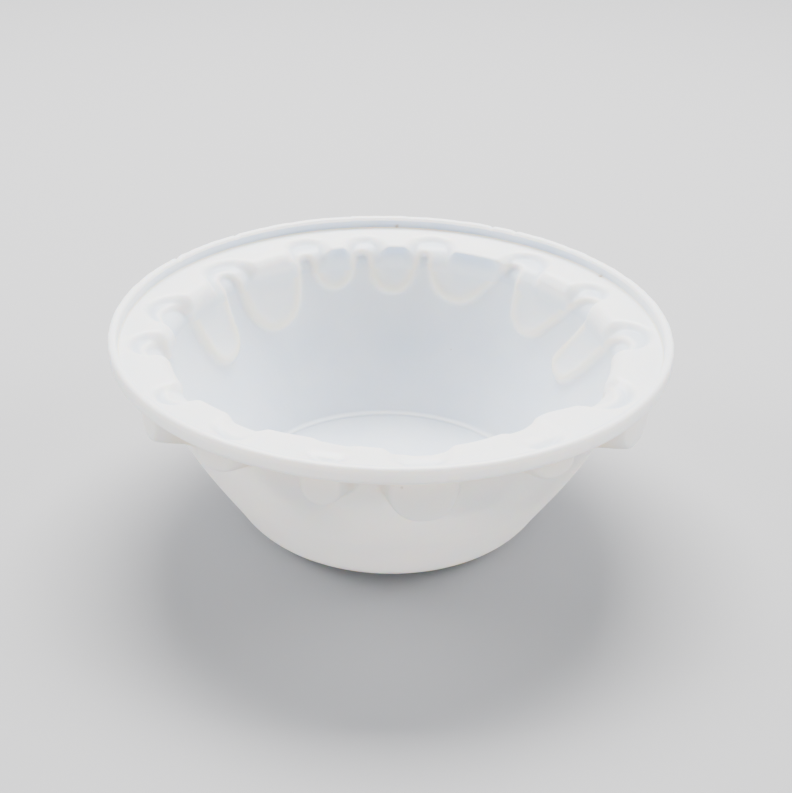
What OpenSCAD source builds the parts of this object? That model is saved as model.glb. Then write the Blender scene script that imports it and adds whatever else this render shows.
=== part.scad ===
// Round, flared silicone casting mould, standing on its flat base with its mouth up.
// One soft moulding, divided into its working zones: a rim lip, a scalloped shelf with
// drip-shaped ribs below it, a smooth cup wall, a rounded foot and a flat floor.

/* [Rim] */
// Outside diameter of the rim
rim_d = 110; // [104:1:116]
// Overall height, from the table to the top of the lip
overall_h = 41.3; // [40:0.1:44]
// Height of the lip above the shelf
lip_h = 2.5; // [1.8:0.1:3.5]
// Radial thickness of the lip
lip_t = 1.7; // [1.4:0.1:2.4]
// Height of the rim's outer band below the shelf's surface
rim_skirt_h = 0.7; // [0.4:0.1:1]

/* [Shelf] */
// Radius where the tabs of the shelf end
tab_end_r = 43.1; // [42.6:0.1:43.4]
// Rounding of the mouth inside the petals
crest_round = 4.4; // [3.6:0.1:5]
// Depth of the petal recesses in the shelf
petal_depth = 1.3; // [0.6:0.1:1.4]
// Width of the slope at the edge of a petal
petal_slope = 2.6; // [1.6:0.1:3.4]
// Depth of the slots between two ribs where they start on the shelf
slot_depth = 0.9; // [0.4:0.1:1.1]
// Level of the shelf's underside, measured down from its surface
shelf_t = 1.7; // [1.6:0.1:2.2]
// Outer radius of the pouches under the petals
pouch_r = 52.6; // [51.5:0.1:53]

/* [Ribs] */
// How far the ribs stand in from the wall
rib_h = 1.1; // [0.8:0.1:1.6]
// Half width of the slope at the edge of a rib
edge_soft = 0.65; // [0.4:0.05:1.2]

/* [Wall] */
// Inner radius at the foot of the wall
wall_foot_r = 30.4; // [29.5:0.1:31.5]
// Inner radius of the wall at the shelf, between the ribs
wall_top_r = 45; // [44.5:0.1:46]
// Roundness of the flare: 1 follows a quarter of a sine wave
wall_curve = 1.05; // [0.9:0.05:1.2]
// Horizontal thickness at the foot of the wall
wall_t_foot = 1.2; // [1:0.1:1.5]
// Horizontal thickness near the shelf
wall_t_top = 1.8; // [1.5:0.1:2.2]

/* [Base] */
// Radius of the flat underside
base_flat_r = 24; // [22:0.5:25]
// Radius of the rounded corner between the underside and the wall
base_round = 9; // [8:0.5:10]
// Thickness of the floor
floor_t = 3.2; // [2.5:0.1:3.6]
// Radius of the floor inside the step
floor_r = 29.2; // [28.5:0.1:29.4]
// Height of the small step round the floor
step_h = 0.5; // [0.3:0.1:0.8]

/* [Hidden] */
$fn = 96;

// One row for each drip rib: the angles of its sides at the shelf, the angles of its sides
// lower down, and the height of its rounded lower end.
RIBS = [
    [-170, -150, -165, -152, 33.0],
    [-142, -129, -143, -128, 29.0],
    [-121, -104, -119, -104, 25.0],
    [-101,  -88, -101,  -88, 28.0],
    [ -76,  -60,  -79,  -60, 24.0],
    [ -53,  -36,  -52,  -36, 28.0],
    [ -24,   -4,  -22,   -4, 27.0],
    [   3,   19,   18,   32, 19.9],
    [  26,   52.3, 38,   52.5, 23.9],
    [  54.5, 80,   61.5, 79.7, 26.5],
    [  82.3, 97.3, 83.5, 97, 27.4],
    [ 101,  114.3, 101.5, 113.7, 28.8],
    [ 117.5, 140, 118.5, 136.8, 22.8],
    [ 144.5, 163, 142.5, 157, 20.8],
    [ 172,  186,  174,  184, 34.0]
];
// One row for each petal, between two ribs: the angles of the tabs beside it, the radius of
// its outer tip, the radius of the tip of the slot in it, the height of the lower end of the
// pouch below it, and how much of its depth is left at the mouth.
PETALS = [
    [-178, -166, 51.6, 48.0, 31.5, 1.0],
    [-151, -141, 51.2, 47.5, 28.3, 0.6],
    [-131, -119, 50.5, 47.0, 31.6, 0.35],
    [-108,  -97, 50.5, 45.0, 29.7, 0.15],
    [ -91,  -75, 50.5, 46.0, 27.4, 0.42],
    [ -62,  -50, 51.0, 45.0, 32.0, 0.2],
    [ -38,  -21, 51.2, 47.0, 28.3, 0.6],
    [  -6,  9.5, 52.0, 47.3, 31.0, 1.0],
    [21.5,   33, 50.8, 47.2, 31.5, 1.0],
    [  44,   58, 51.3, 46.2, 31.0, 1.0],
    [  72, 86.5, 50.0, 45.0, 31.5, 1.0],
    [  92, 104.5, 49.0, 45.0, 32.0, 1.0],
    [ 109,  121, 50.6, 45.2, 31.5, 1.0],
    [ 133,  150, 50.4, 46.5, 31.0, 1.0],
    [ 160,  177, 51.0, 47.7, 31.5, 1.0]
];
// Places at the front where the mouth leans in: angle, width in degrees and reach in mm
LEANS = [[-107, 9, 1.2], [-82, 7, -0.3], [-62, 7, 0.9], [-47, 9, 2.9]];
// Places at the back and the front where the tabs end crisply: angle, half of the width
// and width of the change to the soft ends, all in degrees
CRISP = [[84, 34, 12], [-90, 62, 24]];
petals_n = len(PETALS);

rim_r = rim_d / 2;
lip_r = rim_r - lip_t;
shelf_z = overall_h - lip_h;
crest_z = shelf_z - petal_depth - crest_round;
under_z = shelf_z - shelf_t;
skirt_z = shelf_z - rim_skirt_h;
wall_foot_z = floor_t + step_h + 0.4;
wall_top_z = shelf_z;
wall_t_top_z = 30;
band_foot_z = 14;

// Petals: how far each reaches past its angles and its tip, and where its depth starts to
// fade before the mouth and over what length
petal_margin = 0.6;
fade_before = 2.5;
fade_len = 4;
// Pouches: how far each reaches past its outline, the width of its slope, and the height
// of the row of points just under them all
pouch_margin = 1;
pouch_slope = 3.2;
pouch_foot_z = 26.5;
// How much of the height of a rib or pouch its rounded end may take
tip_share = 0.7;

// Counts of points round the band and along its section
ring_n = 144;
shelf_n = 5;
inner_n = 10;
outer_n = 7;
wall_n = 8;
round_n = 12;

function mix(a, b, t) = a + (b - a) * t;
function clamp01(t) = min(1, max(0, t));
function ease(t) = clamp01(t) * clamp01(t) * (3 - 2 * clamp01(t));
function turn(a) = a - 360 * round(a / 360);
function arc_mm(a, r) = a * PI / 180 * r;

// The smooth wall: inner radius, thickness and outer radius at a height
function wall_x(z) = clamp01((z - wall_foot_z) / (wall_top_z - wall_foot_z));
function wall_r(z) = wall_foot_r + (wall_top_r - wall_foot_r) * sin(90 * pow(wall_x(z), wall_curve));
function wall_t(z) = mix(wall_t_foot, wall_t_top, clamp01((z - wall_foot_z) / (wall_t_top_z - wall_foot_z)));
function outer_r(z) = wall_r(z) + wall_t(z);

// Distance inside an outline of half width w that ends in a rounded tip of length l:
// u is across it, v is the way past the place where the tip starts. All in mm.
function inside_mm(u, v, w, l) = w * (1 - norm([u / w, max(0, v) / l]));
function soft_in(d) = ease((d + edge_soft) / (2 * edge_soft));

// The mouth: where its rounding starts on the shelf and ends on the wall
crest_r = wall_r(crest_z) - rib_h;
crest_in_r = crest_r + crest_round;
shelf_len = lip_r - crest_in_r;
crest_len = crest_round * PI / 2;
section_len = shelf_len + crest_len + crest_z;

// Distance along the section, from the lip, of the point of the shelf or mouth at a radius
function mouth_s(r) = shelf_len + crest_len * asin(min(1, (crest_in_r - r) / crest_round)) / 90;
function shelf_s(r) = (r >= crest_in_r) ? lip_r - r : mouth_s(r);

// Petals: 0 on a tab and 1 in a petal, at the distance s along the section
function petal_in(i, a, s, r) =
    let (
        u = arc_mm(turn(a - (PETALS[i][0] + PETALS[i][1]) / 2), r),
        w = arc_mm((PETALS[i][1] - PETALS[i][0]) / 2, r) + petal_margin,
        l = min(w, shelf_len + 3)
    )
    inside_mm(u, shelf_s(PETALS[i][2]) - petal_margin + l - s, w, l);
function petal_sunk(i, a, s, r) =
    let (faded = ease((s - shelf_len + fade_before) / fade_len))
    ease(petal_in(i, a, s, r) / petal_slope) * mix(1, PETALS[i][5], faded);
function petal_mask(a, s, r) = max([for (i = [0 : petals_n - 1]) petal_sunk(i, a, s, r)]);

// Ribs: their sides lean from the shelf to their lower part
function rib_lean(j, z) = clamp01((shelf_z - z) / (shelf_z - RIBS[j][4] - 3));
function rib_lo(j, z) = mix(RIBS[j][0], RIBS[j][2], rib_lean(j, z));
function rib_hi(j, z) = mix(RIBS[j][1], RIBS[j][3], rib_lean(j, z));
function rib_in(j, a, s, z, r) =
    let (
        u = arc_mm(turn(a - (rib_lo(j, z) + rib_hi(j, z)) / 2), r),
        w = arc_mm((rib_hi(j, z) - rib_lo(j, z)) / 2, r),
        l = min(w, (shelf_z - RIBS[j][4]) * tip_share)
    )
    inside_mm(u, s - (section_len - RIBS[j][4] - l), w, l);
function rib_mask(a, s, z, r) = soft_in(max([for (j = [0 : petals_n - 1]) rib_in(j, a, s, z, r)]));

// Slots: the gaps between two ribs, with a round top on the shelf
function slot_half(i, z) = turn(rib_lo(i, z) - rib_hi((i + petals_n - 1) % petals_n, z)) / 2;
function slot_in(i, a, s, z, r) =
    let (
        w = max(arc_mm(slot_half(i, z), r), 0.7),
        mid = rib_lo(i, z) - slot_half(i, z)
    )
    inside_mm(arc_mm(turn(a - mid), r), shelf_s(PETALS[i][3]) + w - s, w, w);
function slot_mask(a, s, z, r) = soft_in(max([for (i = [0 : petals_n - 1]) slot_in(i, a, s, z, r)]));

// How far the front of the mouth leans in
function lean_in(a) = [for (p = LEANS) p[2] * exp(-pow(turn(a - p[0]) / p[1], 2))] * [for (p = LEANS) 1];

// The pouches that hang below the shelf outside, one under each petal
function pouch_in(i, a, z) =
    let (
        u = arc_mm(turn(a - (PETALS[i][0] + PETALS[i][1]) / 2), pouch_r),
        w = arc_mm((PETALS[i][1] - PETALS[i][0]) / 2, pouch_r) + 0.2,
        l = (under_z - PETALS[i][4]) * tip_share
    )
    inside_mm(u, PETALS[i][4] + l - z, w, l);
function pouch_mask(a, z) =
    let (deepest = max([for (i = [0 : petals_n - 1]) pouch_in(i, a, z)]))
    ease((deepest + pouch_margin) / pouch_slope);
function band_outer_r(a, z) = mix(outer_r(z), pouch_r, pouch_mask(a, z));

// The end of a tab in section: crisp at the back of the cup, soft elsewhere.
// Each row: share of the mouth's rounding, then the crisp point and the soft point.
TAB_ROWS = [
    [0.15, [crest_in_r - 1.4, shelf_z], [tab_end_r + 3.2, shelf_z]],
    [0.3, [tab_end_r + 1.6, shelf_z], [tab_end_r + 1.7, shelf_z - 0.4]],
    [0.42, [tab_end_r + 0.4, shelf_z], [tab_end_r + 0.6, shelf_z - 1.5]],
    [0.5, [tab_end_r, shelf_z - 0.4], [tab_end_r + 0.3, shelf_z - 2.3]],
    [0.58, [tab_end_r, shelf_z - 1.1], [tab_end_r + 0.2, shelf_z - 3]],
    [0.7, [crest_r, shelf_z - 2], [mix(tab_end_r + 0.2, crest_r, 0.8), shelf_z - 4.2]],
    [1, [crest_r, crest_z], [crest_r, crest_z]]
];
function crisp(a) = max([for (c = CRISP) ease((c[1] - abs(turn(a - c[0]))) / c[2])]);

// Section of the band at the angle a, as [radius, height] points: over the shelf,
// round its inner edge, down the wall of ribs, and back up outside
function shelf_part(a) = [
    for (i = [0 : shelf_n])
        let (r = lip_r - shelf_len * i / shelf_n)
        [r, shelf_z - petal_depth * petal_mask(a, lip_r - r, r)]
];
function crest_part(a) = [
    for (row = TAB_ROWS)
        let (
            x = row[0],
            s = shelf_len + crest_len * x,
            arc = [crest_in_r - crest_round * sin(90 * x), crest_z + crest_round * cos(90 * x)],
            petal = petal_mask(a, s, arc[0]),
            tab = 1 - petal,
            tab_point = mix(row[2], row[1], crisp(a)),
            slot = slot_mask(a, s, arc[1], arc[0]) * mix(max(petal, 0.15), 1, ease(2 * x - 1)),
            depth = mix(slot_depth, rib_h, x) * slot,
            lean = lean_in(a) * ease(1.6 * x)
        )
        mix(arc + depth * [sin(90 * x), -cos(90 * x)], tab_point + [depth * x, 0], tab) - [lean, 0]
];
function inner_part(a) = [
    for (i = [1 : inner_n])
        let (
            z = mix(crest_z, band_foot_z, i / inner_n),
            rib = rib_h * rib_mask(a, section_len - z, z, wall_r(z)),
            lean = lean_in(a) * ease((z - band_foot_z) / (crest_z - band_foot_z))
        )
        [wall_r(z) - rib - lean, z]
];
function outer_part(a) = [
    let (below = [band_foot_z, mix(band_foot_z, pouch_foot_z, 0.5)])
    for (z = concat(below, [for (i = [0 : outer_n]) mix(pouch_foot_z, under_z, i / outer_n)]))
        [band_outer_r(a, z), z]
];
function rim_part() = [[rim_r - rim_skirt_h, under_z + rim_skirt_h / 2], [rim_r, skirt_z], [rim_r, shelf_z]];
function band_section(a) = concat(shelf_part(a), crest_part(a), inner_part(a), outer_part(a), rim_part());

module drip_band() {
    sections = [for (k = [0 : ring_n - 1]) band_section(360 * k / ring_n)];
    m = len(sections[0]);
    points = [
        for (k = [0 : ring_n - 1])
            let (a = 360 * k / ring_n)
            for (p = sections[k]) [p[0] * cos(a), p[0] * sin(a), p[1]]
    ];
    faces = [
        for (k = [0 : ring_n - 1], i = [0 : m - 1])
            let (k2 = (k + 1) % ring_n, i2 = (i + 1) % m)
            for (f = [[k * m + i, k2 * m + i, k2 * m + i2], [k * m + i, k2 * m + i2, k * m + i2]]) f
    ];
    color([0.90, 0.91, 0.92])
        polyhedron(points = points, faces = faces, convexity = 8);
}

module rim_lip() {
    color([0.92, 0.92, 0.93])
        rotate_extrude()
            union() {
                translate([lip_r, shelf_z])
                    square([lip_t, lip_h - lip_t / 2]);
                translate([lip_r + lip_t / 2, overall_h - lip_t / 2])
                    circle(d = lip_t);
            }
}

module cup_wall() {
    heights = [for (i = [0 : wall_n]) mix(wall_foot_z, band_foot_z, i / wall_n)];
    inner = [for (z = heights) [wall_r(z), z]];
    outer = [for (i = [wall_n : -1 : 0]) [outer_r(heights[i]), heights[i]]];
    color([0.84, 0.86, 0.88])
        rotate_extrude()
            polygon(concat(inner, outer));
}

// The rounded corner under the wall, up to the wall's foot, with the step round the floor
module foot_ring() {
    top_a = acos((base_round - wall_foot_z) / base_round);
    corner = [
        for (i = [0 : round_n])
            let (t = top_a * i / round_n)
            [base_flat_r + base_round * sin(t), base_round * (1 - cos(t))]
    ];
    inside = [
        [outer_r(wall_foot_z), wall_foot_z],
        [wall_foot_r, wall_foot_z],
        [floor_r + step_h, floor_t + step_h],
        [floor_r, floor_t],
        [base_flat_r, floor_t]
    ];
    color([0.80, 0.83, 0.85])
        rotate_extrude()
            polygon(concat(corner, inside));
}

module floor_disc() {
    color([0.85, 0.84, 0.84])
        cylinder(r = base_flat_r, h = floor_t);
}

rim_lip();
drip_band();
cup_wall();
foot_ring();
floor_disc();
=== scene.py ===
"""A round silicone casting mould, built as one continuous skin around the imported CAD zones."""
import math

import bpy
import numpy as np
from mathutils import Matrix, Vector


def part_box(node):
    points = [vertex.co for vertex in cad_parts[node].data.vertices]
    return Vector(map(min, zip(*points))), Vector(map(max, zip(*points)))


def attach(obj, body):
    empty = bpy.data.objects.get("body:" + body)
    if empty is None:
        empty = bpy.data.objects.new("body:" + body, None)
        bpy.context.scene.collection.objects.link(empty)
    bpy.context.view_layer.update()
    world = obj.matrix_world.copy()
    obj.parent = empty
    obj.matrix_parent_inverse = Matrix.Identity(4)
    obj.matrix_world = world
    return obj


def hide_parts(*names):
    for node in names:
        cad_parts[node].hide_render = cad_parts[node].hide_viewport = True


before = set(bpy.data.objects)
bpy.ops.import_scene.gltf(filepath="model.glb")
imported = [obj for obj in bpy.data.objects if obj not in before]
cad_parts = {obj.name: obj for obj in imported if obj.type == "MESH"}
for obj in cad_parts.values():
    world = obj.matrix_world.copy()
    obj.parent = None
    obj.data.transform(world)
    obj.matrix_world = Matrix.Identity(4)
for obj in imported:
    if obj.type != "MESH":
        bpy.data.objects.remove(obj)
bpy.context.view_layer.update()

# ---------------------------------------------------------------- driving sizes, in millimetres
MM = 0.001
NODES = ["rim_lip", "drip_band", "cup_wall", "foot_ring", "floor_disc"]


def box_mm(node):
    """Lowest and highest corners of a CAD node, in millimetres."""
    low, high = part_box(node)
    return np.array(low) / MM, np.array(high) / MM


RIM_R = box_mm("drip_band")[1][0]
TOP_Z = box_mm("rim_lip")[1][2]
SHELF_Z = box_mm("rim_lip")[0][2]
BAND_FOOT_Z = box_mm("drip_band")[0][2]
WALL_FOOT_Z = box_mm("cup_wall")[0][2]
FLOOR_Z = box_mm("floor_disc")[1][2]
BASE_FLAT_R = box_mm("floor_disc")[1][0]

# Rim: the skin stays this far inside the CAD box at the side and at the top
RIM_INSET = 0.05
TOP_INSET = 0.08
LIP_T = 1.7
LIP_R = RIM_R - LIP_T
LIP_FOOT_ROUND = 0.4
LIP_IN_ROUND = 0.45
LIP_OUT_ROUND = 0.7
SKIRT_H = 0.7
SKIRT_ROUND = 0.4
SKIRT_FOOT_Z = SHELF_Z - SKIRT_H

# Shelf with its petals, and the ends of the tabs between them
SHELF_T = 1.7
UNDER_Z = SHELF_Z - SHELF_T
PETAL_DEPTH = 1.3
PETAL_SLOPE = 2.6
PETAL_MARGIN = 0.6
FADE_BEFORE = 2.5
FADE_LEN = 4.0
TAB_END_R = 43.1
CRISP_ROUND = 0.5
FRONT_ROUND = 1.3
SOFT_ROUND = 3.0

# Ribs, the slots between them, and the pouches outside
RIB_H = 1.1
SLOT_DEPTH = 0.9
SLOT_HALF_MIN = 0.7
EDGE_SOFT = 0.65
BEAD_H = 0.2
TIP_SHARE = 0.7
POUCH_R = 52.6
POUCH_MARGIN = 1.0
POUCH_SLOPE = 3.2

# Wall and base
WALL_FOOT_R = 30.4
WALL_TOP_R = 45.0
WALL_CURVE = 1.05
WALL_T_FOOT = 1.2
WALL_T_TOP = 1.8
WALL_T_TOP_Z = 30.0
BASE_ROUND = 9.0
FLOOR_R = 29.2
STEP_H = 0.5
STEP_ROUND = 0.25

# The mouth: a rounding from the shelf down to the wall of ribs
CREST_ROUND = 4.4
CREST_Z = SHELF_Z - PETAL_DEPTH - CREST_ROUND
WALL_SHARE = ((CREST_Z - WALL_FOOT_Z) / (SHELF_Z - WALL_FOOT_Z)) ** WALL_CURVE
CREST_R = WALL_FOOT_R + (WALL_TOP_R - WALL_FOOT_R) * math.sin(math.pi / 2 * WALL_SHARE) - RIB_H
CREST_IN_R = CREST_R + CREST_ROUND
SHELF_LEN = LIP_R - CREST_IN_R
CREST_LEN = CREST_ROUND * math.pi / 2
SECTION_LEN = SHELF_LEN + CREST_LEN + CREST_Z

# Each drip rib: its sides at the shelf and lower down (angles), and the height of its round
# lower end
RIBS = np.array([
    [-170, -150, -165, -152, 33.0],
    [-142, -129, -143, -128, 29.0],
    [-121, -104, -119, -104, 25.0],
    [-101, -88, -101, -88, 28.0],
    [-76, -60, -79, -60, 24.0],
    [-53, -36, -52, -36, 28.0],
    [-24, -4, -22, -4, 27.0],
    [3, 19, 18, 32, 19.9],
    [26, 52.3, 38, 52.5, 23.9],
    [54.5, 80, 61.5, 79.7, 26.5],
    [82.3, 97.3, 83.5, 97, 27.4],
    [101, 114.3, 101.5, 113.7, 28.8],
    [117.5, 140, 118.5, 136.8, 22.8],
    [144.5, 163, 142.5, 157, 20.8],
    [172, 186, 174, 184, 34.0],
])
# Each petal, between two ribs: sides of the tabs next to it (angles), radius of its outer tip,
# radius of the tip of the slot in its middle, height of its pouch's lower end, and how much of
# its depth is left at the mouth
PETALS = np.array([
    [-178, -166, 51.6, 48.0, 31.5, 1.0],
    [-151, -141, 51.2, 47.5, 28.3, 0.6],
    [-131, -119, 50.5, 47.0, 31.6, 0.35],
    [-108, -97, 50.5, 45.0, 29.7, 0.15],
    [-91, -75, 50.5, 46.0, 27.4, 0.42],
    [-62, -50, 51.0, 45.0, 32.0, 0.2],
    [-38, -21, 51.2, 47.0, 28.3, 0.6],
    [-6, 9.5, 52.0, 47.3, 31.0, 1.0],
    [21.5, 33, 50.8, 47.2, 31.5, 1.0],
    [44, 58, 51.3, 46.2, 31.0, 1.0],
    [72, 86.5, 50.0, 45.0, 31.5, 1.0],
    [92, 104.5, 49.0, 45.0, 32.0, 1.0],
    [109, 121, 50.6, 45.2, 31.5, 1.0],
    [133, 150, 50.4, 46.5, 31.0, 1.0],
    [160, 177, 51.0, 47.7, 31.5, 1.0],
])
# Places where the front of the mouth leans in: angle, width in degrees and reach
LEANS = [(-107, 9, 1.2), (-82, 7, -0.3), (-62, 7, 0.9), (-47, 9, 2.9)]
# Places where the tabs end less softly: angle, half of the width and width of the change
CRISP_BACK = (84, 34, 12)
CRISP_FRONT = (-90, 62, 24)

# Small flaws of the rim: waves (count, size, phase), nicks in its top (angle, width in degrees,
# depth) and brown marks (angle, radius, height, size)
WAVES = [(37, 0.05, 10), (61, 0.04, 80), (113, 0.035, 200), (7, 0.06, 30)]
NICKS = [(148, 0.7, 0.5), (130, 0.6, 0.35), (66, 0.5, 0.4), (60, 0.6, 0.35), (101, 0.4, 0.2)]
MARKS = [(33, 52.9, SHELF_Z + 0.1, 0.4), (89.5, LIP_R, SHELF_Z + 0.4, 0.35)]

# Shares of the painted shade, a cool blue-grey tint: on the smooth inside, high on the wall, on a rib,
# under a tab, outside
PAINTED_SHADE_INSIDE = 0.62
PAINTED_SHADE_HIGH = 0.38
PAINTED_SHADE_RIB = 0.15
PAINTED_SHADE_UNDER_TAB = 0.3
PAINTED_SHADE_OUTSIDE = 0.2

# Shares of a tab's section where its edge, its end face and the part below it start
TAB_EDGE = 0.44
TAB_FACE = 0.455
TAB_BELOW = 0.5

# Distances between the rows of the skin, and its points round the ring
WALL_PITCH = 0.7
RIB_PITCH = 0.33
SHELF_PITCH = 0.25
POUCH_PITCH = 0.45
OUTER_PITCH = 0.8
RING_N = 600
THETA = np.arange(RING_N) * (360.0 / RING_N)


# ---------------------------------------------------------------- small maths
def mix(a, b, t):
    return a + (b - a) * t


def ease(t):
    t = np.clip(t, 0.0, 1.0)
    return t * t * (3 - 2 * t)


def bell(x):
    return np.exp(-x ** 2)


def turn(a):
    return a - 360 * np.round(a / 360)


def arc_mm(a, r):
    return np.radians(a) * r


def near(place):
    """1 round a place of the ring and 0 away from it: angle, half of the width, and the change."""
    at, half, change = place
    return ease((half - np.abs(turn(THETA - at))) / change)


def inside_mm(u, v, w, length):
    """Distance inside an outline of half width w that ends in a round tip of that length."""
    return w * (1 - np.hypot(u / w, np.maximum(0, v) / length))


# ---------------------------------------------------------------- the smooth cup
def wall_r(z):
    x = np.clip((z - WALL_FOOT_Z) / (SHELF_Z - WALL_FOOT_Z), 0, 1)
    return WALL_FOOT_R + (WALL_TOP_R - WALL_FOOT_R) * np.sin(np.radians(90 * x ** WALL_CURVE))


def outer_r(z):
    x = np.clip((z - WALL_FOOT_Z) / (WALL_T_TOP_Z - WALL_FOOT_Z), 0, 1)
    return wall_r(z) + mix(WALL_T_FOOT, WALL_T_TOP, x)


# ---------------------------------------------------------------- petals, ribs and pouches
def shelf_s(r):
    """Distance along the section, from the lip, of the point of the shelf or mouth at a radius."""
    if r >= CREST_IN_R:
        return LIP_R - r
    return SHELF_LEN + CREST_ROUND * math.asin(min(1.0, (CREST_IN_R - r) / CREST_ROUND))


def petal_field(s, r):
    """Distance inside the nearest petal at the distance s from the lip, and the share of its
    depth that is left at the mouth."""
    best, left = np.full(RING_N, -99.0), np.ones(RING_N)
    for lo, hi, tip_r, _, _, share in PETALS:
        w = arc_mm((hi - lo) / 2, r) + PETAL_MARGIN
        length = min(w, SHELF_LEN + 3)
        u = arc_mm(turn(THETA - (lo + hi) / 2), r)
        d = inside_mm(u, shelf_s(tip_r) - PETAL_MARGIN + length - s, w, length)
        left = np.where(d > best, share, left)
        best = np.maximum(best, d)
    return best, left


def rib_sides(i, z):
    """The two sides of a rib at the height z: they lean from the shelf to the rib's lower part."""
    top_lo, top_hi, low_lo, low_hi, bottom_z = RIBS[i]
    t = min(1.0, max(0.0, (SHELF_Z - z) / (SHELF_Z - bottom_z - 3)))
    return mix(top_lo, low_lo, t), mix(top_hi, low_hi, t)


def slot_field(s, z, r):
    """Distance inside the nearest slot between two ribs, with a round top on the shelf."""
    best = np.full(RING_N, -99.0)
    for i, petal in enumerate(PETALS):
        lo, hi = rib_sides(i - 1, z)[1], rib_sides(i, z)[0]
        w = max(arc_mm(turn(hi - lo) / 2, r), SLOT_HALF_MIN)
        u = arc_mm(turn(THETA - (lo + turn(hi - lo) / 2)), r)
        best = np.maximum(best, inside_mm(u, shelf_s(petal[3]) + w - s, w, w))
    return best


def rib_field(s, z, r):
    """Distance inside the nearest rib."""
    best = np.full(RING_N, -99.0)
    for i, rib in enumerate(RIBS):
        lo, hi = rib_sides(i, z)
        bottom_z = rib[4]
        w = arc_mm((hi - lo) / 2, r)
        length = min(w, (SHELF_Z - bottom_z) * TIP_SHARE)
        u = arc_mm(turn(THETA - (lo + hi) / 2), r)
        best = np.maximum(best, inside_mm(u, s - (SECTION_LEN - bottom_z - length), w, length))
    return best


def pouch_mask(z):
    """The pouches that hang under the shelf outside, one below each petal, and their outline."""
    best = np.full(RING_N, -99.0)
    for lo, hi, _, _, bottom_z, _ in PETALS:
        w = arc_mm((hi - lo) / 2, POUCH_R) + 0.2
        length = (UNDER_Z - bottom_z) * TIP_SHARE
        u = arc_mm(turn(THETA - (lo + hi) / 2), POUCH_R)
        best = np.maximum(best, inside_mm(u, bottom_z + length - z, w, length))
    return ease((best + POUCH_MARGIN) / POUCH_SLOPE), bell((best - 0.2) / 0.9)


def front_lean():
    """How far the mouth leans in over the cup: the front of it was cast unevenly."""
    return sum(reach * bell(turn(THETA - at) / width) for at, width, reach in LEANS)


def levels(s, z, r):
    """How the surface lies at the distance s along the section: 1 on a rib and 0 between ribs,
    1 on a tab and 0 in a petal, and the distance inside the outline of the ribs."""
    on_wall = s >= SHELF_LEN + CREST_LEN
    petal, share = petal_field(s, r)
    left = mix(1, share, ease((s - SHELF_LEN + FADE_BEFORE) / FADE_LEN))
    tab = 1 - ease(petal / PETAL_SLOPE) * left
    inside = rib_field(s, z, r) if on_wall else -slot_field(s, z, r)
    raised = ease((inside + EDGE_SOFT) / (2 * EDGE_SOFT))
    if not on_wall:
        raised = 1 - (1 - raised) * mix(left, 1, ease((s - SHELF_LEN) / CREST_LEN * 2 - 1))
    return raised, tab, inside


# ---------------------------------------------------------------- rows of the section
TINTS = ("painted_shade", "painted_glow", "painted_light")
rows = []


def add_row(r, z, painted_shade=0.0, painted_glow=0.0, painted_light=0.0):
    """One ring of points: radius, height and the shares of painted shade, painted glow and painted
    light, in the order of TINTS.
    """
    rows.append([np.broadcast_to(np.asarray(v, float), RING_N) for v in (r, z, painted_shade, painted_glow, painted_light)])


def round_rows(centre_r, centre_z, radius, angles, painted_shade=0.0, painted_glow=0.0, painted_light=0.0):
    """A rounding of the section: the angles go from +r towards +z, and the painted glow may be a list.
    """
    for t, painted_glow_here in zip(np.radians(angles), np.broadcast_to(painted_glow, len(angles))):
        r = centre_r + radius * math.cos(t)
        add_row(r, centre_z + radius * math.sin(t), painted_shade, painted_glow_here, painted_light)


def floor_rows():
    # Painted shade over the floor of the cup and its step
    for r in np.linspace(0.5, FLOOR_R - 0.3, 14):
        add_row(r, FLOOR_Z, PAINTED_SHADE_INSIDE)
    step_z = FLOOR_Z + STEP_H
    foot = np.linspace(-70, 0, 4)
    edge = np.linspace(180, 100, 4)
    round_rows(FLOOR_R - STEP_ROUND, FLOOR_Z + STEP_ROUND, STEP_ROUND, foot, PAINTED_SHADE_INSIDE)
    round_rows(FLOOR_R + STEP_ROUND, step_z - STEP_ROUND, STEP_ROUND, edge, 0.3)
    add_row(mix(FLOOR_R, WALL_FOOT_R, 0.7), mix(step_z, WALL_FOOT_Z, 0.35), 0.5)


def inner_wall_rows():
    for z in np.arange(WALL_FOOT_Z, BAND_FOOT_Z, WALL_PITCH):
        add_row(wall_r(z), z, PAINTED_SHADE_INSIDE)
    for z in np.arange(BAND_FOOT_Z, CREST_Z - 0.1, RIB_PITCH):
        raised, tab, inside = levels(SECTION_LEN - z, z, wall_r(z))
        fade = ease((CREST_Z - z) / 4)
        bead = BEAD_H * bell((inside - 1.4) / 0.9) * raised * fade
        lean = front_lean() * ease((z - BAND_FOOT_Z) / (CREST_Z - BAND_FOOT_Z))
        # Painted shade between the ribs, less of it high up and on the ribs, and under the tabs;
        # painted glow and painted light along a line at the edge of each rib
        line = bell((inside - 0.9) / 1.1)
        between = mix(PAINTED_SHADE_INSIDE, PAINTED_SHADE_HIGH, ease((z - BAND_FOOT_Z) / 16))
        painted_shade = mix(mix(between, PAINTED_SHADE_RIB, raised), PAINTED_SHADE_UNDER_TAB * tab, (1 - fade) * tab)
        r = wall_r(z) - RIB_H * raised - bead - lean
        add_row(r, z, painted_shade * (1 - 0.6 * line), 0.75 * line, 0.6 * line)


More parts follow.
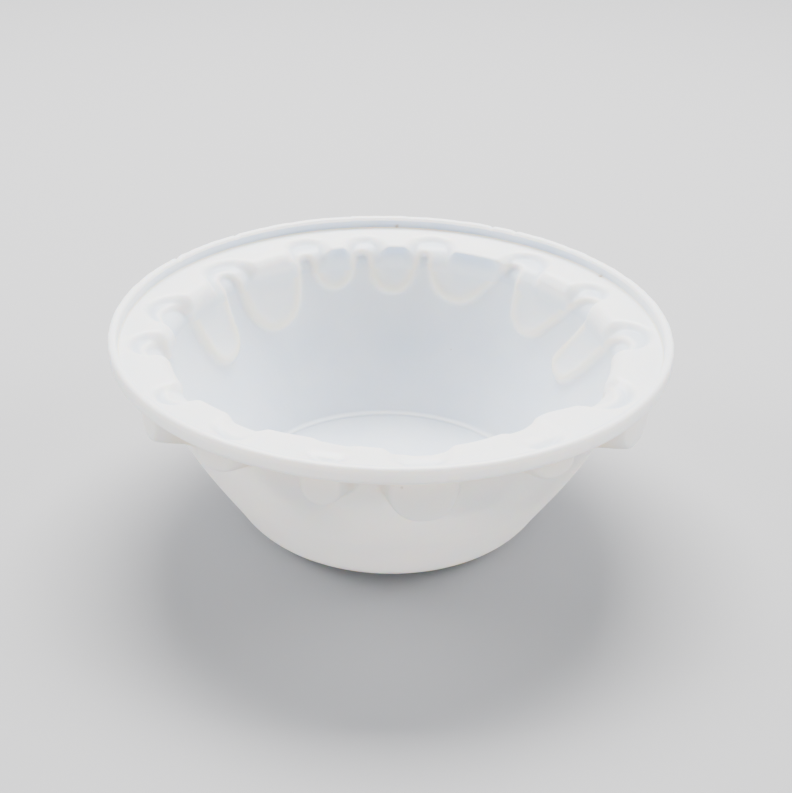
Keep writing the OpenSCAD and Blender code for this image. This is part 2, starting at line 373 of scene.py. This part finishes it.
def tab_path(end_r, corner_r):
    """The end of a tab in section: flat top, corner, short face, then back to the rib below.
    Gives the shares of its length at its points, their radii and their heights."""
    corner = [(end_r + corner_r * (1 - math.sin(t)), SHELF_Z - corner_r * (1 - math.cos(t)))
              for t in np.radians(np.linspace(0, 90, 9))]
    drop = SHELF_Z - corner_r
    foot = [(end_r + 0.05, drop - 0.6), (mix(end_r, CREST_R, 0.6), drop - 1.0), (CREST_R, drop - 1.5)]
    points = np.array([(CREST_IN_R, SHELF_Z)] + corner + foot + [(CREST_R, CREST_Z)])
    steps = np.concatenate([[0], np.cumsum(np.hypot(*np.diff(points, axis=0).T))])
    top, face = np.linspace(0, 0.38, 12), np.linspace(0.38, 0.7, 22)
    along = np.concatenate([top[:-1], face[:-1], np.linspace(0.7, 1, 9)])
    at = along * steps[-1]
    return along, np.interp(at, steps, points[:, 0]), np.interp(at, steps, points[:, 1])


def crest_rows():
    along, crisp_r, crisp_z = tab_path(TAB_END_R, CRISP_ROUND)
    _, soft_r, soft_z = tab_path(TAB_END_R + 0.2, SOFT_ROUND)
    _, front_r, front_z = tab_path(TAB_END_R, FRONT_ROUND)
    back, front = near(CRISP_BACK), near(CRISP_FRONT)
    for k in reversed(range(len(along))):
        x = along[k]
        t = math.pi / 2 * x
        arc_r = CREST_IN_R - CREST_ROUND * math.sin(t)
        arc_z = CREST_Z + CREST_ROUND * math.cos(t)
        raised, tab, inside = levels(SHELF_LEN + CREST_LEN * x, arc_z, arc_r)
        tab_r = mix(mix(soft_r[k], crisp_r[k], back), front_r[k], front)
        tab_z = mix(mix(soft_z[k], crisp_z[k], back), front_z[k], front)
        sunk = mix(SLOT_DEPTH, RIB_H, x) * (1 - raised)
        r = mix(arc_r + sunk * math.sin(t), tab_r + sunk * x, tab) - front_lean() * ease(x * 1.6)
        z = mix(arc_z - sunk * math.cos(t), tab_z, tab)
        # Painted light on top of a tab and along a slot, painted shade on the tab's end face and below
        # it, darkest at its edge at the back, and a painted warm glow line by a slot
        edge, face = ease((x - TAB_EDGE) / 0.05), ease((x - TAB_FACE) / 0.03)
        low = ease((x - TAB_BELOW) / 0.4)
        below = mix(0.95 * back, PAINTED_SHADE_UNDER_TAB, low) * tab * face
        line = bell((inside - 0.4) / 0.7) * (1 - tab)
        petal_painted_shade = mix(0.5, mix(PAINTED_SHADE_INSIDE, PAINTED_SHADE_RIB, x), raised) * np.sqrt(1 - tab)
        painted_light = tab * (1 - edge * back) * (1 - low) + line * (1 - 0.5 * x)
        add_row(r, z, petal_painted_shade + below * mix(back, 1, low), line * x, painted_light)


def shelf_rows():
    for r in np.arange(CREST_IN_R + 0.2, LIP_R - 0.5, SHELF_PITCH):
        raised, tab, inside = levels(LIP_R - r, SHELF_Z - PETAL_DEPTH, r)
        # Painted shade in the petals and slots, painted light on the tabs and along the edges of the
        # slots
        line = bell((inside - 0.4) / 0.7) * (1 - tab)
        z = SHELF_Z - PETAL_DEPTH * (1 - tab) - SLOT_DEPTH * (1 - raised)
        painted_shade = PAINTED_SHADE_INSIDE * np.sqrt(1 - tab) * raised + 0.4 * (1 - raised)
        add_row(r, z, painted_shade, 0, tab ** 2 + line)


def lip_rows():
    wobble = sum(size * np.sin(np.radians(count * THETA + phase)) for count, size, phase in WAVES)
    nicks = sum(depth * bell(turn(THETA - at) / width) for at, width, depth in NICKS)
    face_painted_shade = 0.35 + 0.6 * ease(np.sin(np.radians(THETA)) * 1.3)
    # Painted glow in the crease at the foot of the lip, and painted shade on the lip's inner face,
    # strongest at the back
    foot = LIP_R - LIP_FOOT_ROUND, SHELF_Z + LIP_FOOT_ROUND, LIP_FOOT_ROUND
    round_rows(*foot, np.linspace(-90, -50, 3), 0, [0, 0.8, 0.6])
    round_rows(*foot, [-30, -10], face_painted_shade)
    for z in np.linspace(SHELF_Z + 0.7, TOP_Z - 0.9, 4):
        add_row(LIP_R, z, face_painted_shade)
    top = TOP_Z - TOP_INSET + np.minimum(0.06, wobble * 0.5) - nicks
    shave = np.minimum(0, wobble * 0.3 - 0.02)
    # Painted shade along the lip's inner top edge at the front and painted light on it elsewhere;
    # painted light on the outer top edge
    shade = 0.7 * near((-90, 80, 30))
    inner_edge = LIP_R + LIP_IN_ROUND, top - LIP_IN_ROUND, LIP_IN_ROUND
    outer_edge = RIM_R - LIP_OUT_ROUND - RIM_INSET + shave, top - LIP_OUT_ROUND, LIP_OUT_ROUND
    round_rows(*inner_edge, np.linspace(180, 90, 5), shade, 0, 1 - shade)
    round_rows(*outer_edge, np.linspace(90, 0, 6), 0, 0, 1.0)
    # Painted shade and painted light on the lip's outer face, painted glow on the skirt's rounding
    for z in np.linspace(TOP_Z - 1.4, SKIRT_FOOT_Z + SKIRT_ROUND, 6):
        add_row(RIM_R - RIM_INSET + np.minimum(0, wobble), z, PAINTED_SHADE_OUTSIDE, 0, 0.4)
    skirt = RIM_R - RIM_INSET - SKIRT_ROUND, SKIRT_FOOT_Z + SKIRT_ROUND, SKIRT_ROUND
    round_rows(*skirt, np.linspace(0, -60, 4), 0, [0, 0, 0.5, 0.7])


def outer_rows():
    under_r = mix(outer_r(UNDER_Z), POUCH_R, pouch_mask(UNDER_Z)[0]) + 0.5
    # Painted glow and painted light under the skirt; painted glow along each pouch's outline and over
    # the upper outside, painted light on the pouches, painted shade over the whole outside
    for x in np.linspace(0, 1, 14)[1:-1]:
        z = mix(SKIRT_FOOT_Z, UNDER_Z, ease(x * 1.5))
        add_row(mix(RIM_R - 0.8, under_r, x), z, 0.1, 0.5, 0.4)
    for z in np.arange(UNDER_Z - 0.2, BAND_FOOT_Z, -POUCH_PITCH):
        mask, line = pouch_mask(z)
        glow = 0.35 * ease((z - 27) / 9)
        r = mix(outer_r(z), POUCH_R, mask)
        add_row(r, z, PAINTED_SHADE_OUTSIDE, np.maximum(line, glow), 0.6 * mask)
    for z in np.arange(BAND_FOOT_Z, WALL_FOOT_Z, -OUTER_PITCH):
        add_row(outer_r(z), z, 0.25)


def foot_rows():
    top = math.acos((BASE_ROUND - WALL_FOOT_Z) / BASE_ROUND)
    # Painted shade on the rounding of the foot
    for t in np.linspace(top, 0, 12):
        r = BASE_FLAT_R + BASE_ROUND * math.sin(t)
        add_row(r, BASE_ROUND * (1 - math.cos(t)), PAINTED_SHADE_OUTSIDE)
    for r in np.linspace(BASE_FLAT_R, 0.5, 10)[1:]:
        add_row(r, 0.0)


# ---------------------------------------------------------------- the skin
def skin_faces(m, n):
    """Quads between m rings of n points, and a fan of triangles to a point at each end."""
    i, k = np.meshgrid(np.arange(m - 1), np.arange(n), indexing="ij")
    k2 = (k + 1) % n
    corners = [(i + 1) * n + k, (i + 1) * n + k2, i * n + k2, i * n + k]
    quads = np.stack(corners, axis=2).reshape(-1, 4)
    ring = np.arange(n)
    after = (ring + 1) % n
    last = (m - 1) * n
    first_fan = np.stack([after, np.full(n, m * n), ring], axis=1)
    last_fan = np.stack([last + ring, np.full(n, m * n + 1), last + after], axis=1)
    return quads.tolist() + first_fan.tolist() + last_fan.tolist()


def mark_shares(points):
    """1 at the middle of a brown mark, falling to 0 round it."""
    shares = np.zeros(len(points))
    for a, r, z, size in MARKS:
        at = np.array([r * math.cos(math.radians(a)), r * math.sin(math.radians(a)), z]) * MM
        shares += bell(np.linalg.norm(points - at, axis=1) / (size * MM))
    return shares


def build_skin():
    """The whole moulding as one closed mesh, with the shares of painted shade, painted light, painted
    glow and brown marks kept as point attributes.
    """
    for zone in (floor_rows, inner_wall_rows, crest_rows, shelf_rows, lip_rows, outer_rows, foot_rows):
        zone()
    grid = np.array(rows)
    r, z = grid[:, 0], grid[:, 1]
    cos, sin = np.cos(np.radians(THETA)), np.sin(np.radians(THETA))
    points = np.stack([r * cos, r * sin, z], axis=2).reshape(-1, 3) * MM
    points = np.vstack([points, [[0, 0, FLOOR_Z * MM], [0, 0, 0]]])
    mesh = bpy.data.meshes.new("silicone_mould")
    mesh.from_pydata(points.tolist(), [], skin_faces(len(rows), RING_N))
    shares = {"mark": mark_shares(points)}
    for i, name in enumerate(TINTS):
        shares[name] = np.append(grid[:, 2 + i], [0.0, 0.0])
    for name, values in shares.items():
        layer = mesh.attributes.new(name, "FLOAT", "POINT")
        layer.data.foreach_set("value", values.astype(np.float32))
    mesh.polygons.foreach_set("use_smooth", [True] * len(mesh.polygons))
    mesh.update()
    skin = bpy.data.objects.new("silicone_mould", mesh)
    bpy.context.scene.collection.objects.link(skin)
    return skin


# ---------------------------------------------------------------- material
MILK = (0.885, 0.905, 0.915)
HAZE = (0.93, 0.925, 0.915)
# Painted shade: the blue-grey that thin walls and shadowed hollows take on
PAINTED_SHADE_TINT = (0.56, 0.655, 0.79)
# Painted light: the whiter tops of the tabs and of the lip, and the rib and slot edges
PAINTED_LIGHT_TINT = (0.985, 0.975, 0.97)
# Painted glow: the cream of light passing through thick parts, at the drips' lower ends and the pouch
# outlines
PAINTED_GLOW_TINT = (0.96, 0.84, 0.65)
SPECK = (0.45, 0.36, 0.28)
BROWN = (0.36, 0.24, 0.15)


def silicone():
    """Milky silicone: painted shade, painted light and a painted warm glow laid on as tints, haze,
    fine grain and a few specks, all procedural."""
    mat = bpy.data.materials.new("silicone")
    mat.use_nodes = True
    nodes, links = mat.node_tree.nodes, mat.node_tree.links
    shader = nodes["Principled BSDF"]
    place = nodes.new("ShaderNodeTexCoord").outputs["Object"]

    def share(name):
        node = nodes.new("ShaderNodeAttribute")
        node.attribute_name = name
        return node.outputs["Fac"]

    def noise(scale, detail):
        node = nodes.new("ShaderNodeTexNoise")
        node.inputs["Scale"].default_value = scale
        node.inputs["Detail"].default_value = detail
        links.new(place, node.inputs["Vector"])
        return node.outputs["Fac"]

    def ramp(value, low, high, to_low=0.0, to_high=1.0):
        node = nodes.new("ShaderNodeMapRange")
        node.inputs["From Min"].default_value = low
        node.inputs["From Max"].default_value = high
        node.inputs["To Min"].default_value = to_low
        node.inputs["To Max"].default_value = to_high
        links.new(value, node.inputs["Value"])
        return node.outputs["Result"]

    def times(a, b):
        node = nodes.new("ShaderNodeMath")
        node.operation = "MULTIPLY"
        links.new(a, node.inputs[0])
        links.new(b, node.inputs[1])
        return node.outputs["Value"]

    def tint(base, colour, factor):
        node = nodes.new("ShaderNodeMix")
        node.data_type = "RGBA"
        links.new(factor, node.inputs["Factor"])
        if isinstance(base, tuple):
            node.inputs[6].default_value = (*base, 1)
        else:
            links.new(base, node.inputs[6])
        node.inputs[7].default_value = (*colour, 1)
        return node.outputs[2]

    def bump(height, strength, distance, under=None):
        node = nodes.new("ShaderNodeBump")
        node.inputs["Strength"].default_value = strength
        node.inputs["Distance"].default_value = distance
        links.new(height, node.inputs["Height"])
        if under is not None:
            links.new(under, node.inputs["Normal"])
        return node.outputs["Normal"]

    haze = noise(55, 4)
    colour = tint(MILK, HAZE, ramp(haze, 0.35, 0.65))
    # Painted shade, then painted light, then a painted warm glow, each where its share says
    colour = tint(colour, PAINTED_SHADE_TINT, times(share("painted_shade"), ramp(noise(120, 3), 0.3, 0.7, 0.75, 1.0)))
    colour = tint(colour, PAINTED_LIGHT_TINT, ramp(share("painted_light"), 0.0, 1.0, 0.0, 0.85))
    colour = tint(colour, PAINTED_GLOW_TINT, times(share("painted_glow"), ramp(noise(90, 2), 0.3, 0.7, 0.55, 0.9)))
    specks = nodes.new("ShaderNodeTexVoronoi")
    specks.inputs["Scale"].default_value = 150
    links.new(place, specks.inputs["Vector"])
    dots = times(ramp(specks.outputs["Distance"], 0.05, 0.03), ramp(noise(40, 1), 0.62, 0.66))
    colour = tint(colour, SPECK, dots)
    colour = tint(colour, BROWN, share("mark"))
    links.new(colour, shader.inputs["Base Color"])
    links.new(ramp(haze, 0.3, 0.7, 0.30, 0.44), shader.inputs["Roughness"])
    fine = bump(noise(1400, 2), 0.12, 0.0003)
    links.new(bump(noise(110, 2), 0.25, 0.0006, fine), shader.inputs["Normal"])
    shader.inputs["IOR"].default_value = 1.41
    shader.inputs["Subsurface Weight"].default_value = 1.0
    shader.inputs["Subsurface Radius"].default_value = (1.0, 0.8, 0.62)
    shader.inputs["Subsurface Scale"].default_value = 0.0021
    return mat


# ---------------------------------------------------------------- stage, camera, lights
# Each light: name, place and size in metres, power in watts and colour
LIGHTS = [
    ("overhead", (0.0, 0.34, 0.62), (0.5, 0.3), 17, (1.0, 0.985, 0.96)),
    ("left", (-0.65, 0.10, 0.40), (0.35, 0.35), 5, (0.97, 0.98, 1.0)),
    ("front", (0.0, -0.70, 0.07), (0.8, 0.12), 2.2, (1.0, 0.97, 0.93)),
    ("right", (0.65, 0.10, 0.40), (0.35, 0.35), 5, (0.97, 0.98, 1.0)),
]


def add_floor():
    """A plain pale floor, a hair below the mould."""
    half = 3.0
    mesh = bpy.data.meshes.new("floor")
    corners = [(-half, -half, 0), (half, -half, 0), (half, half, 0), (-half, half, 0)]
    mesh.from_pydata(corners, [], [(0, 1, 2, 3)])
    floor = bpy.data.objects.new("floor", mesh)
    floor.location.z = -0.00005
    bpy.context.scene.collection.objects.link(floor)
    mat = bpy.data.materials.new("floor")
    mat.use_nodes = True
    shader = mat.node_tree.nodes["Principled BSDF"]
    shader.inputs["Base Color"].default_value = (0.40, 0.40, 0.41, 1)
    shader.inputs["Roughness"].default_value = 0.7
    mesh.materials.append(mat)


def add_camera():
    """The photo's view: from the front, looking down, with a slight roll."""
    pitch = math.radians(29.17)
    roll = math.radians(1.24)
    distance = 0.300
    target = Vector((0.00119, 0, 0.02438))
    back = Vector((0, -math.cos(pitch), math.sin(pitch)))
    right = Vector((1, 0, 0))
    up = Vector((0, math.sin(pitch), math.cos(pitch)))
    x_axis = math.cos(roll) * right + math.sin(roll) * up
    y_axis = -math.sin(roll) * right + math.cos(roll) * up
    data = bpy.data.cameras.new("camera")
    data.sensor_fit = "HORIZONTAL"
    data.sensor_width = 36
    data.lens = 67.55
    data.clip_start = 0.01
    camera = bpy.data.objects.new("camera", data)
    rotation = Matrix((x_axis, y_axis, back)).transposed().to_4x4()
    camera.matrix_world = Matrix.Translation(target + back * distance) @ rotation
    bpy.context.scene.collection.objects.link(camera)
    bpy.context.scene.camera = camera


def add_light(name, place, size, power, colour):
    """A soft rectangular light that points at the mould."""
    data = bpy.data.lights.new(name, "AREA")
    data.shape = "RECTANGLE"
    data.size, data.size_y = size
    data.energy = power
    data.color = colour
    light = bpy.data.objects.new(name, data)
    light.location = place
    aim = Vector((0, 0, 0.02)) - Vector(place)
    light.rotation_euler = aim.to_track_quat("-Z", "Y").to_euler()
    bpy.context.scene.collection.objects.link(light)


def add_world():
    world = bpy.data.worlds.new("world")
    world.use_nodes = True
    background = world.node_tree.nodes["Background"]
    background.inputs["Color"].default_value = (0.93, 0.96, 1.0, 1)
    background.inputs["Strength"].default_value = 0.62
    bpy.context.scene.world = world


add_camera()
add_world()
for light in LIGHTS:
    add_light(*light)
add_floor()
skin = build_skin()
skin.data.materials.append(silicone())
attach(skin, "root")
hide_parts(*NODES)
